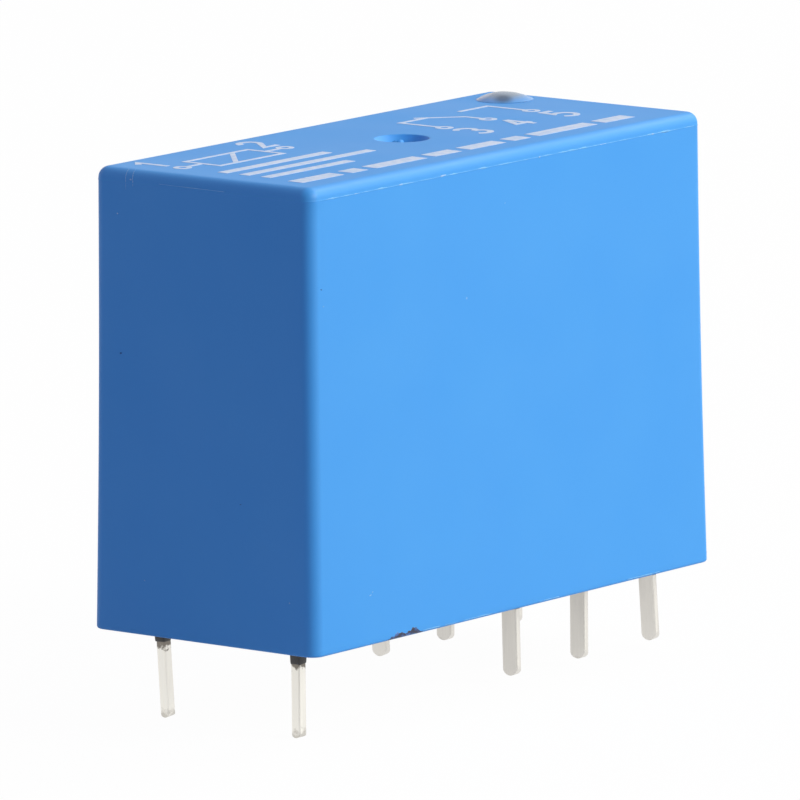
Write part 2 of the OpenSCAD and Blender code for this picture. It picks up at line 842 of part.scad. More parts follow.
module actuator_card() {
    color("#efe9da")
        difference() {
            across(card_width) {
                translate([card_start_x + card_nose, card_bottom_z])
                    square([card_end_x - card_start_x - 2 * card_nose, card_height]);
                for (x = [card_start_x + card_nose, card_end_x - card_nose])
                    translate([x, card_z]) circle(card_nose);
            }
            translate([window_start_x, -window_width / 2, card_bottom_z - skim])
                cube([window_end_x - window_start_x, window_width, card_height + 2 * skim]);
            translate([card_start_x - skim, -notch_width / 2, card_bottom_z - skim])
                cube([notch_depth + skim, notch_width, card_height + 2 * skim]);
        }
}

case();
vent_seal();
base();
potting();
bobbin();
coil_winding();
coil_tape();
core();
yoke();
armature();
return_spring();
actuator_card();
com_terminal();
moving_spring();
spring_rivets();
moving_contact();
nc_terminal();
nc_contact();
no_terminal();
no_contact();
coil_pin_front();
coil_pin_rear();
coil_lead_front();
coil_lead_rear();
coil_solder_joints();
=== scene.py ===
"""Looks of a sealed power relay for a circuit board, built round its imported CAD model."""

import math

import bmesh
import bpy
from mathutils import Matrix, Vector, noise
from mathutils.geometry import delaunay_2d_cdt


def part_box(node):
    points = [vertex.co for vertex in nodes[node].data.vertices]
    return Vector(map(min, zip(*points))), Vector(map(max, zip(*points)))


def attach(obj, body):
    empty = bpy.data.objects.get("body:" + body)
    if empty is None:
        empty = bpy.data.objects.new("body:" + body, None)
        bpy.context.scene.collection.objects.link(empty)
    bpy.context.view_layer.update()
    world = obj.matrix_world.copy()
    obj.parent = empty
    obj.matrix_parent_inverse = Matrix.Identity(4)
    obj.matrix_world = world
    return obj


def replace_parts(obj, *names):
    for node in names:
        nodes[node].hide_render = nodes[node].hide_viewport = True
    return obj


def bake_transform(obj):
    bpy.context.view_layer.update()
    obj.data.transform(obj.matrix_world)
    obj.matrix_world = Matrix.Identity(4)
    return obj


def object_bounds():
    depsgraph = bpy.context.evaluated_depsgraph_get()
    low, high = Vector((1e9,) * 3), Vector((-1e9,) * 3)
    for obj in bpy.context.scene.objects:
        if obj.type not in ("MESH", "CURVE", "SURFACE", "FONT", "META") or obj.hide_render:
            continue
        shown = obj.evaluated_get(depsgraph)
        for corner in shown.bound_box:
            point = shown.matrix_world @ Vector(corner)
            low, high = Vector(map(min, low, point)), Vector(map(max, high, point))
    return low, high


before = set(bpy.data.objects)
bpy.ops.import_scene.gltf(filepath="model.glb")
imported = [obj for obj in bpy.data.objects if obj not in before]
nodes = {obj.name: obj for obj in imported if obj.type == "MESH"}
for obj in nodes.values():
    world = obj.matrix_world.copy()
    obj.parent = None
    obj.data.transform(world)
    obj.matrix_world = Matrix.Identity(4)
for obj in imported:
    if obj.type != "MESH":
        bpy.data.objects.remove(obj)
cad_low, cad_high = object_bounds()

MM = 0.001

# Sizes of the case, in millimetres, as the part's source has them
LENGTH, WIDTH, HEIGHT = 29.0, 12.6, 20.6
SETBACK = 0.24
WALL, ROOF = 0.9, 1.0
CORNER, ROOF_EDGE, RIM_EDGE, ROOM_CORNER = 0.6, 0.5, 0.12, 0.3
ROOM_TOP = HEIGHT - ROOF
# The moulding is a hair smaller than its nominal size, and its walls sink in as they cool:
# all round at half height, and a little more in the middle of each wall
SHRINK, WALL_SINK, MIDDLE_SINK = 0.004, 0.038, 0.012
# Line that the two halves of the mould leave round the walls, below the roof
SEAM_DROP, SEAM_RISE, SEAM_REACH = 0.58, 0.008, 0.05
# Recess of the moulding gate, with steep sides, and the torn stub in it
GATE_RADIUS, GATE_FLOOR_RADIUS, GATE_DEPTH = 1.2, 1.0, 0.4
STUB_X, STUB_RADIUS, STUB_HEIGHT = -0.35, 0.42, 0.3
VENT_X, VENT_Y, VENT_RADIUS = 12.11, 3.61, 0.4
DROP_RADIUS, DROP_HEIGHT = 1.25, 0.34
# Pins: place, half thickness and half width, and how far the potting runs down them
COIL_X, ROW = -12.55, 3.81
STRIP_PINS = [(x, y, 0.175, 0.425, 0.65) for x in (2.69, 7.77, 12.85) for y in (-ROW, ROW)]
PINS = [(COIL_X, -ROW, 0.25, 0.25, 0.8), (COIL_X, ROW, 0.25, 0.25, 0.62)] + STRIP_PINS
POTTING_LOW, POTTING_HIGH = 0.35, 0.85
# Where each spring starts to bend, and where it follows the piece that moves it
CONTACT_LEAF_BEND = (7.495, 0, 6.05), (7.495, 0, 10.8)
RETURN_LEAF_BEND = (-1.305, 0, 9.5), (-0.145, 0, 10.9)


def linear(code):
    """An sRGB hex colour as linear red, green, blue and alpha."""
    parts = [int(code[i : i + 2], 16) / 255 for i in (1, 3, 5)]
    return [c / 12.92 if c <= 0.04045 else ((c + 0.055) / 1.055) ** 2.4 for c in parts] + [1.0]


def add(tree, kind, inputs, **settings):
    """Adds a node, or feeds one that is there: sockets are linked, hex colours are made linear."""
    node = tree.nodes.new(kind) if isinstance(kind, str) else kind
    for name, value in settings.items():
        setattr(node, name, value)
    for key, value in inputs.items():
        if isinstance(value, bpy.types.NodeSocket):
            tree.links.new(value, node.inputs[key])
        else:
            node.inputs[key].default_value = linear(value) if isinstance(value, str) else value
    return node


def new_material(name):
    """A new material: its tree, its shader and the place on the object, in metres."""
    material = bpy.data.materials.new(name)
    material.use_nodes = True
    tree = material.node_tree
    place = add(tree, "ShaderNodeTexCoord", {}).outputs["Object"]
    return material, tree, tree.nodes["Principled BSDF"], place


def per(size):
    """Scale of a pattern whose features are that many millimetres apart."""
    return 1 / (size * MM)


def moulded_blue_pbt():
    """Blue PBT from a satin mould: an even colour, a soft broad sheen, fine grain and a little dust."""
    material, tree, shader, place = new_material("moulded_blue_pbt")
    cloud = add(tree, "ShaderNodeTexNoise", {"Vector": place, "Scale": per(5), "Detail": 3})
    body = add(
        tree,
        "ShaderNodeMix",
        {0: cloud.outputs[0], 6: "#3ea0f0", 7: "#48a7f2"},
        data_type="RGBA",
    )
    # Dust and pin-prick flecks 0.08 mm across, one in every 2.6 mm cell at most
    cells = add(tree, "ShaderNodeTexVoronoi", {"Vector": place, "Scale": per(2.6)})
    spot = add(
        tree,
        "ShaderNodeMapRange",
        {0: cells.outputs["Distance"], 1: 0.028, 2: 0.01, 3: 0.0, 4: 0.4},
        interpolation_type="SMOOTHSTEP",
    )
    chosen = add(
        tree, "ShaderNodeMath", {0: cells.outputs["Color"], 1: 0.6}, operation="GREATER_THAN"
    )
    fleck = add(
        tree, "ShaderNodeMath", {0: spot.outputs[0], 1: chosen.outputs[0]}, operation="MULTIPLY"
    )
    colour = add(
        tree,
        "ShaderNodeMix",
        {0: fleck.outputs[0], 6: body.outputs[2], 7: "#c4def6"},
        data_type="RGBA",
    )
    # The satin grain is about 0.04 mm, too fine to show, so it is drawn 0.12 mm wide
    grain = add(tree, "ShaderNodeTexNoise", {"Vector": place, "Scale": per(0.12), "Detail": 2})
    wave = add(tree, "ShaderNodeTexNoise", {"Vector": place, "Scale": per(6), "Detail": 1})
    sheen = add(tree, "ShaderNodeMapRange", {0: wave.outputs[0], 1: 0.3, 2: 0.7, 3: 0.48, 4: 0.56})
    bump = add(
        tree,
        "ShaderNodeBump",
        {"Height": grain.outputs[0], "Strength": 0.12, "Distance": 0.004 * MM},
    )
    add(
        tree,
        shader,
        {
            "Base Color": colour.outputs[2],
            "Roughness": sheen.outputs[0],
            "Normal": bump.outputs[0],
            "IOR": 1.5,
        },
    )
    return material


def white_pad_ink():
    """White pad-printing ink: a thin matt film, with the blue showing faintly where it is thin."""
    material, tree, shader, place = new_material("white_pad_ink")
    patches = add(tree, "ShaderNodeTexNoise", {"Vector": place, "Scale": per(0.3), "Detail": 3})
    thin = add(
        tree, "ShaderNodeMapRange", {0: patches.outputs[0], 1: 0.35, 2: 0.65, 3: 0.5, 4: 0.0}
    )
    colour = add(
        tree,
        "ShaderNodeMix",
        {0: thin.outputs[0], 6: "#e4f0ff", 7: "#a8d0f8"},
        data_type="RGBA",
    )
    add(tree, shader, {"Base Color": colour.outputs[2], "Roughness": 0.6})
    return material


def bruised_pbt(name, dark, light):
    """Blue PBT squeezed out at the mould's seam or bruised by handling: paler, dull and broken up."""
    material, tree, shader, place = new_material(name)
    patches = add(tree, "ShaderNodeTexNoise", {"Vector": place, "Scale": per(0.25), "Detail": 2})
    colour = add(
        tree,
        "ShaderNodeMix",
        {0: patches.outputs[0], 6: dark, 7: light},
        data_type="RGBA",
    )
    add(tree, shader, {"Base Color": colour.outputs[2], "Roughness": 0.6})
    return material


def grey_dirt():
    """Specks of dark dirt pressed into the case: matt grey blue."""
    material, tree, shader, place = new_material("grey_dirt")
    patches = add(tree, "ShaderNodeTexNoise", {"Vector": place, "Scale": per(0.08), "Detail": 2})
    colour = add(
        tree,
        "ShaderNodeMix",
        {0: patches.outputs[0], 6: "#2c5c9e", 7: "#3a74bd"},
        data_type="RGBA",
    )
    add(tree, shader, {"Base Color": colour.outputs[2], "Roughness": 0.8})
    return material


def vent_drop_resin():
    """Grey-tinged clear epoxy set as a drop: glossy, blue at its thin edge, with painted shade over the
    vent hole and painted light on one side.
    """
    material, tree, shader, place = new_material("vent_drop_resin")
    # It is painted as an opaque body, because a clear drop this low renders too grey
    clouds = add(tree, "ShaderNodeTexNoise", {"Vector": place, "Scale": per(0.7), "Detail": 2})
    centre = (VENT_X * MM, VENT_Y * MM, HEIGHT * MM)
    away = add(tree, "ShaderNodeVectorMath", {0: place, 1: centre}, operation="DISTANCE")
    body = add(
        tree,
        "ShaderNodeMix",
        {0: clouds.outputs[0], 6: "#8098b0", 7: "#9aabb8"},
        data_type="RGBA",
    )
    edge = add(
        tree,
        "ShaderNodeMapRange",
        {0: away.outputs["Value"], 1: 0.65 * MM, 2: 1.2 * MM},
        interpolation_type="SMOOTHSTEP",
    )
    thick = add(
        tree,
        "ShaderNodeMix",
        {0: edge.outputs[0], 6: body.outputs[2], 7: "#63a8ea"},
        data_type="RGBA",
    )
    # Painted light: one side is paler, for the lamps' light that the drop gathers on its far side
    painted_light_at = (centre[0] - 0.6 * MM, centre[1] + 0.7 * MM, centre[2] + 0.15 * MM)
    from_painted_light = add(tree, "ShaderNodeVectorMath", {0: place, 1: painted_light_at}, operation="DISTANCE")
    painted_light_side = add(
        tree,
        "ShaderNodeMapRange",
        {0: from_painted_light.outputs["Value"], 1: 0.65 * MM, 2: 0.2 * MM, 4: 0.75},
        interpolation_type="SMOOTHSTEP",
    )
    with_painted_light = add(
        tree,
        "ShaderNodeMix",
        {0: painted_light_side.outputs[0], 6: thick.outputs[2], 7: "#d5e0ee"},
        data_type="RGBA",
    )
    # Painted shade: the dark vent hole under the drop, drawn a little to one side, where the drop's
    # bending of the light shows it
    shown = (centre[0] - 0.69 * MM, centre[1] - 0.54 * MM, centre[2] + 0.18 * MM)
    from_hole_shade = add(tree, "ShaderNodeVectorMath", {0: place, 1: shown}, operation="DISTANCE")
    painted_hole_shade = add(
        tree,
        "ShaderNodeMapRange",
        {0: from_hole_shade.outputs["Value"], 1: 0.6 * MM, 2: 0.12 * MM, 4: 0.8},
        interpolation_type="SMOOTHSTEP",
    )
    colour = add(
        tree,
        "ShaderNodeMix",
        {0: painted_hole_shade.outputs[0], 6: with_painted_light.outputs[2], 7: "#33506e"},
        data_type="RGBA",
    )
    ripple = add(tree, "ShaderNodeMapRange", {0: clouds.outputs[0], 3: 0.16, 4: 0.3})
    add(
        tree,
        shader,
        {"Base Color": colour.outputs[2], "Roughness": ripple.outputs[0], "IOR": 1.53},
    )
    return material


def black_potting_epoxy():
    """Black filled epoxy, poured and set: near black, glossy, with slow ripples and fine filler."""
    material, tree, shader, place = new_material("black_potting_epoxy")
    filler = add(tree, "ShaderNodeTexNoise", {"Vector": place, "Scale": per(0.3), "Detail": 3})
    colour = add(
        tree,
        "ShaderNodeMix",
        {0: filler.outputs[0], 6: "#1c1b1e", 7: "#302d2d"},
        data_type="RGBA",
    )
    ripples = add(tree, "ShaderNodeTexNoise", {"Vector": place, "Scale": per(2.2), "Detail": 2})
    rough = add(
        tree, "ShaderNodeMapRange", {0: ripples.outputs[0], 1: 0.3, 2: 0.7, 3: 0.2, 4: 0.36}
    )
    bump = add(
        tree,
        "ShaderNodeBump",
        {"Height": ripples.outputs[0], "Strength": 0.3, "Distance": 0.05 * MM},
    )
    add(
        tree,
        shader,
        {
            "Base Color": colour.outputs[2],
            "Roughness": rough.outputs[0],
            "Normal": bump.outputs[0],
            "IOR": 1.55,
        },
    )
    return material


def resin_film():
    """Potting resin wiped on the case: a thin dark film, blue where it is thinnest."""
    material, tree, shader, place = new_material("resin_film")
    patches = add(tree, "ShaderNodeTexNoise", {"Vector": place, "Scale": per(0.28), "Detail": 3})
    thin = add(tree, "ShaderNodeMapRange", {0: patches.outputs[0], 1: 0.42, 2: 0.62})
    colour = add(
        tree,
        "ShaderNodeMix",
        {0: thin.outputs[0], 6: "#26283f", 7: "#3f6fb5"},
        data_type="RGBA",
    )
    add(tree, shader, {"Base Color": colour.outputs[2], "Roughness": 0.35})
    return material


def hot_tinned(name, dark, light, smooth, dull, stain):
    """Copper alloy hot tinned below the base: bright and a little warm, streaked along its length.

    The tip is scuffed grey, the root can be stained brown by resin, and inside the case it is bare.
    """
    material, tree, shader, place = new_material(name)
    # Drawing streaks 0.1 mm wide and some 3 mm long run down each leg
    along = add(
        tree, "ShaderNodeMapping", {"Vector": place, "Scale": (per(0.1), per(0.1), per(3))}
    )
    streaks = add(tree, "ShaderNodeTexNoise", {"Vector": along.outputs[0], "Scale": 1, "Detail": 3})
    tin = add(
        tree, "ShaderNodeMix", {0: streaks.outputs[0], 6: dark, 7: light}, data_type="RGBA"
    )
    level = add(tree, "ShaderNodeSeparateXYZ", {0: place})
    blots = add(tree, "ShaderNodeTexNoise", {"Vector": place, "Scale": per(0.22), "Detail": 3})
    wander = add(
        tree,
        "ShaderNodeMath",
        {0: blots.outputs[0], 1: 0.9 * MM, 2: level.outputs["Z"]},
        operation="MULTIPLY_ADD",
    )
    # The scuffed tip is the last 0.4 mm
    tip = add(
        tree, "ShaderNodeMapRange", {0: wander.outputs[0], 1: -3.2 * MM, 2: -3.5 * MM, 4: 0.45}
    )
    scuffed = add(
        tree,
        "ShaderNodeMix",
        {0: tip.outputs[0], 6: tin.outputs[2], 7: "#918b80"},
        data_type="RGBA",
    )
    root = add(
        tree, "ShaderNodeMapRange", {0: wander.outputs[0], 1: -0.52 * MM, 2: -0.36 * MM, 4: stain}
    )
    stained = add(
        tree,
        "ShaderNodeMix",
        {0: root.outputs[0], 6: scuffed.outputs[2], 7: "#4a3d2e"},
        data_type="RGBA",
    )
    bare = add(tree, "ShaderNodeMapRange", {0: level.outputs["Z"], 1: 0.6 * MM, 2: 0.9 * MM})
    colour = add(
        tree,
        "ShaderNodeMix",
        {0: bare.outputs[0], 6: stained.outputs[2], 7: "#cf9a63"},
        data_type="RGBA",
    )
    rough = add(
        tree, "ShaderNodeMapRange", {0: streaks.outputs[0], 1: 0.3, 2: 0.7, 3: smooth, 4: dull}
    )
    bump = add(
        tree,
        "ShaderNodeBump",
        {"Height": streaks.outputs[0], "Strength": 0.35, "Distance": 0.012 * MM},
    )
    add(
        tree,
        shader,
        {
            "Base Color": colour.outputs[2],
            "Roughness": rough.outputs[0],
            "Normal": bump.outputs[0],
            "Metallic": 1.0,
        },
    )
    return material


def moulded(name, dark, light, grain, roughness):
    """A moulded plastic inside the case: two close shades, cloudy, with the grain of its filler."""
    material, tree, shader, place = new_material(name)
    cloud = add(tree, "ShaderNodeTexNoise", {"Vector": place, "Scale": per(2), "Detail": 4})
    colour = add(
        tree, "ShaderNodeMix", {0: cloud.outputs[0], 6: dark, 7: light}, data_type="RGBA"
    )
    filler = add(tree, "ShaderNodeTexNoise", {"Vector": place, "Scale": per(grain), "Detail": 2})
    bump = add(
        tree,
        "ShaderNodeBump",
        {"Height": filler.outputs[0], "Strength": 0.2, "Distance": 0.01 * MM},
    )
    add(
        tree,
        shader,
        {"Base Color": colour.outputs[2], "Roughness": roughness, "Normal": bump.outputs[0]},
    )
    return material


def rolled(name, dark, light, across, along, smooth, dull):
    """A rolled or drawn metal: bright, with fine streaks in the direction that it was drawn in."""
    material, tree, shader, place = new_material(name)
    grain = add(
        tree,
        "ShaderNodeMapping",
        {"Vector": place, "Scale": (per(across), per(across), per(along))},
    )
    streaks = add(tree, "ShaderNodeTexNoise", {"Vector": grain.outputs[0], "Scale": 1, "Detail": 3})
    colour = add(
        tree, "ShaderNodeMix", {0: streaks.outputs[0], 6: dark, 7: light}, data_type="RGBA"
    )
    rough = add(
        tree, "ShaderNodeMapRange", {0: streaks.outputs[0], 1: 0.3, 2: 0.7, 3: smooth, 4: dull}
    )
    bump = add(
        tree,
        "ShaderNodeBump",
        {"Height": streaks.outputs[0], "Strength": 0.2, "Distance": 0.006 * MM},
    )
    add(
        tree,
        shader,
        {
            "Base Color": colour.outputs[2],
            "Roughness": rough.outputs[0],
            "Normal": bump.outputs[0],
            "Metallic": 1.0,
        },
    )
    return material


def wound(name, dark, light, spacing, wander, relief, metallic, roughness):
    """Something wound round the coil in even turns: ribs that run round it, one above the other."""
    material, tree, shader, place = new_material(name)
    turns = add(
        tree,
        "ShaderNodeTexWave",
        {"Vector": place, "Scale": per(spacing) / 20, "Distortion": wander, "Detail": 1},
        bands_direction="Z",
    )
    colour = add(
        tree, "ShaderNodeMix", {0: turns.outputs[1], 6: dark, 7: light}, data_type="RGBA"
    )
    bump = add(
        tree,
        "ShaderNodeBump",
        {"Height": turns.outputs[1], "Strength": 0.4, "Distance": relief * MM},
    )
    add(
        tree,
        shader,
        {
            "Base Color": colour.outputs[2],
            "Normal": bump.outputs[0],
            "Metallic": metallic,
            "Roughness": roughness,
        },
    )
    return material


def piece(name, shape, material, body="housing"):
    """Turns a shape in millimetres into a smooth piece that rides on a body."""
    mesh = bpy.data.meshes.new(name)
    bmesh.ops.recalc_face_normals(shape, faces=shape.faces)
    bmesh.ops.scale(shape, vec=(MM, MM, MM), verts=shape.verts)
    for face in shape.faces:
        face.smooth = True
    shape.to_mesh(mesh)
    shape.free()
    mesh.materials.append(material)
    made = bpy.data.objects.new(name, mesh)
    bpy.context.scene.collection.objects.link(made)
    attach(made, body)
    return made


def soften(made, angle):
    """Keeps flat faces flat beside rounded edges, and edges sharper than the angle sharp."""
    made.data.set_sharp_from_angle(angle=math.radians(angle))
    weighted = made.modifiers.new("flat_faces", "WEIGHTED_NORMAL")
    weighted.keep_sharp = True


def loft(shape, rings):
    """Joins rings of equally many points with quads, and returns the rings' corners."""
    rows = [[shape.verts.new(p) for p in ring] for ring in rings]
    for low, high in zip(rows, rows[1:]):
        join(shape, low, high)
    return rows


def join(shape, low, high):
    """Joins two rings of corners with quads."""
    for i in range(len(low)):
        j = (i + 1) % len(low)
        shape.faces.new((low[i], low[j], high[j], high[i]))


def inside(point, outline):
    """Whether a point in the plane lies inside a closed outline."""
    hit = False
    for a, b in zip(outline, outline[1:] + outline[:1]):
        if (a.y > point.y) != (b.y > point.y):
            if point.x < a.x + (b.x - a.x) * (point.y - a.y) / (b.y - a.y):
                hit = not hit
    return hit


def fill(shape, outline, holes, loose=()):
    """Fills the ground between an outline's corners, holes' corners and loose ones with triangles."""
    corners = list(outline) + [v for hole in holes for v in hole] + list(loose)
    edges = []
    for loop in [outline, *holes]:
        start = len(edges)
        count = len(loop)
        edges += [(start + i, start + (i + 1) % count) for i in range(count)]
    found = delaunay_2d_cdt([v.co.xy for v in corners], edges, [], 1, 1e-6)
    gaps = [[v.co.xy for v in hole] for hole in holes]
    for face in found[2]:
        trio = [corners[found[3][i][0]] for i in face]
        middle = (trio[0].co + trio[1].co + trio[2].co) / 3
        if not any(inside(middle, gap) for gap in gaps):
            shape.faces.new(trio)


def circle(x, y, radius, z, steps):
    """Points round a level circle."""
    turn = [2 * math.pi * k / steps for k in range(steps)]
    return [Vector((x + radius * math.cos(t), y + radius * math.sin(t), z)) for t in turn]


# Case


def half_sizes(z, inset):
    """Half the case's length and width at a height, less an inset: the walls lean inward."""
    lean = SETBACK * z / HEIGHT + SHRINK + inset
    return LENGTH / 2 - lean, WIDTH / 2 - lean


def hollow(z):
    """Share of the sink at a height: most at half height, none at the rim and the roof's edge."""
    share = (z - 0.3) / (HEIGHT - ROOF_EDGE - 0.3)
    return math.sin(math.pi * min(max(share, 0.0), 1.0))


LONG_STEPS, SHORT_STEPS, CORNER_STEPS = 44, 20, 10


def case_ring(z, inset, corner, sunk=0.0):
    """Points round the case at a height, from the front face's left end and anticlockwise from above."""
    half_x, half_y = half_sizes(z, inset + WALL_SINK * sunk)
    run_x, run_y = half_x - corner, half_y - corner
    sides = [
        (Vector((-run_x, -half_y)), Vector((run_x, -half_y)), Vector((0, 1)), LONG_STEPS),
        (Vector((half_x, -run_y)), Vector((half_x, run_y)), Vector((-1, 0)), SHORT_STEPS),
        (Vector((run_x, half_y)), Vector((-run_x, half_y)), Vector((0, -1)), LONG_STEPS),
        (Vector((-half_x, run_y)), Vector((-half_x, -run_y)), Vector((1, 0)), SHORT_STEPS),
    ]
    centres = [(run_x, -run_y), (run_x, run_y), (-run_x, run_y), (-run_x, -run_y)]
    ring = []
    for k, (start, end, inward, steps) in enumerate(sides):
        for i in range(steps):
            share = i / steps
            bow = MIDDLE_SINK * sunk * math.sin(math.pi * share)
            ring.append(start.lerp(end, share) + inward * bow)
        for i in range(CORNER_STEPS):
            angle = math.radians(90 * (k - 1 + i / CORNER_STEPS))
            ring.append(Vector(centres[k]) + corner * Vector((math.cos(angle), math.sin(angle))))
    return [Vector((p.x, p.y, z)) for p in ring]


GATE_STEPS = 56
# Rings of the gate recess: radius and depth down its side, then radii over its floor
GATE_SIDES = [
    (1.4, 0),
    (1.25, 0),
    (1.225, 0.008),
    (GATE_RADIUS, 0.04),
    (GATE_FLOOR_RADIUS, 0.37),
    (GATE_FLOOR_RADIUS - 0.04, GATE_DEPTH),
]
GATE_FLOOR = (0.75, 0.62, 0.54, 0.47, 0.41, 0.35, 0.28, 0.2, 0.1)


def torn_stub(x, y):
    """Height of the gate's floor, with the torn stub in its middle."""
    radius = math.hypot(x - STUB_X, y)
    ragged = 1 + 0.5 * noise.noise(Vector((3 * x, 3 * y, 5)))
    rise = max(0.0, 1 - (radius / (STUB_RADIUS * ragged)) ** 4)
    torn = 0.9 + 1.1 * noise.noise(Vector((6 * x, 6 * y, 2)))
    return HEIGHT - GATE_DEPTH + STUB_HEIGHT * rise * min(max(torn, 0.3), 1.6)


def case_shell():
    """The case: drafted, hollow walls, rounded edges, a gate recess and a vent hole in the roof."""
    shell = bmesh.new()
    rings = []
    for z, inset in ((0.1, WALL), (0.03, WALL - 0.03), (0, WALL - 0.1)):
        rings.append(case_ring(z, inset, ROOM_CORNER + WALL - inset))
    for k in range(6):
        angle = math.radians(90 * k / 5)
        inset = RIM_EDGE * (1 - math.sin(angle))
        rings.append(case_ring(RIM_EDGE * (1 - math.cos(angle)), inset, CORNER - inset))
    seam = HEIGHT - SEAM_DROP
    levels = [0.3 + (seam - 0.5) * k / 26 for k in range(26)]
    levels += [seam + SEAM_REACH * k / 4 for k in range(-4, 5)]
    levels += [HEIGHT - ROOF_EDGE]
    for z in levels:
        ridge = SEAM_RISE * max(0, 1 - abs(z - seam) / SEAM_REACH)
        rings.append(case_ring(z, -ridge, CORNER, hollow(z)))
    for k in range(1, 11):
        angle = math.radians(90 * k / 10)
        inset = ROOF_EDGE * (1 - math.cos(angle))
        level = HEIGHT - ROOF_EDGE * (1 - math.sin(angle))
        rings.append(case_ring(level, inset, CORNER - inset))
    rings.append(case_ring(HEIGHT, ROOF_EDGE + 0.15, 0.05))
    outer = loft(shell, rings)
    gate = [circle(0, 0, radius, HEIGHT - drop, GATE_STEPS) for radius, drop in GATE_SIDES]
    for radius in GATE_FLOOR:
        ring = circle(0, 0, radius, 0, GATE_STEPS)
        gate.append([Vector((p.x, p.y, torn_stub(p.x, p.y))) for p in ring])
    recess = loft(shell, gate)
    shell.faces.new(recess[-1])
    vent = [circle(VENT_X, VENT_Y, VENT_RADIUS, z, 28) for z in (HEIGHT, ROOM_TOP)]
    hole = loft(shell, vent)
    fill(shell, outer[-1], [recess[0], hole[0]])
    inner = [case_ring(z, WALL, ROOM_CORNER) for z in (6, 12, ROOM_TOP - ROOM_CORNER)]
    for k in range(1, 5):
        angle = math.radians(90 * k / 4)
        inset = ROOM_CORNER * (1 - math.cos(angle)) * 0.9
        level = ROOM_TOP - ROOM_CORNER * (1 - math.sin(angle))
        inner.append(case_ring(level, WALL + inset, ROOM_CORNER - inset))
    room = loft(shell, inner)
    join(shell, outer[0], room[0])
    fill(shell, room[-1], [hole[1]])
    made = piece("case_shell", shell, moulded_blue_pbt())
    soften(made, 35)
    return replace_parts(made, "case")


# Marks of the mould and of handling on the walls


def on_wall(along, z, end):
    """A point on the front wall, or on the wall of the coil end, and the way that it faces."""
    half_x, half_y = half_sizes(z, WALL_SINK * hollow(z))
    run = (half_y if end else half_x) - CORNER
    share = min(max((along + run) / (2 * run), 0), 1)
    bow = MIDDLE_SINK * hollow(z) * math.sin(math.pi * share)
    if end:
        return Vector((bow - half_x, along, z)), Vector((-1, 0, 0))
    return Vector((along, bow - half_y, z)), Vector((0, -1, 0))


def over_roof_edge(along, turn):
    """A point on the rounded edge over the coil end, by its angle, and the way that it faces."""
    angle = math.radians(turn)
    level = HEIGHT - ROOF_EDGE * (1 - math.sin(angle))
    half_x, _ = half_sizes(level, ROOF_EDGE * (1 - math.cos(angle)))
    return Vector((-half_x, along, level)), Vector((-math.cos(angle), 0, math.sin(angle)))


def bead(shape, path, width, lift):
    """A thin raised line along a path on a wall, uneven, and pointed at both ends."""
    last = len(path) - 1
    rows = []
    for i, (point, out) in enumerate(path):
        ahead = path[min(i + 1, last)][0] - path[max(i - 1, 0)][0]
        uneven = 0.75 + 0.9 * noise.noise(point * 1.7)
        side = ahead.cross(out).normalized() * width / 2 * min(max(uneven, 0.25), 1.3)
        if i in (0, last):
            rows.append([shape.verts.new(point)])
        else:
            ring = (point + side, point + out * lift, point - side, point - out * 0.015)
            rows.append([shape.verts.new(p) for p in ring])
    for low, high in zip(rows, rows[1:]):
        for i in range(4):
            j = (i + 1) % 4
            if len(low) == 1:
                shape.faces.new((low[0], high[i], high[j]))
            elif len(high) == 1:
                shape.faces.new((low[i], high[0], low[j]))
            else:
                shape.faces.new((low[i], high[i], high[j], low[j]))


def wall_line(start, end, steps, on_end):
    """A straight path on a wall between two places, each given along the wall and by height."""
    path = []
    for k in range(steps + 1):
        share = k / steps
        along = start[0] + (end[0] - start[0]) * share
        path.append(on_wall(along, start[1] + (end[1] - start[1]) * share, on_end))
    return path


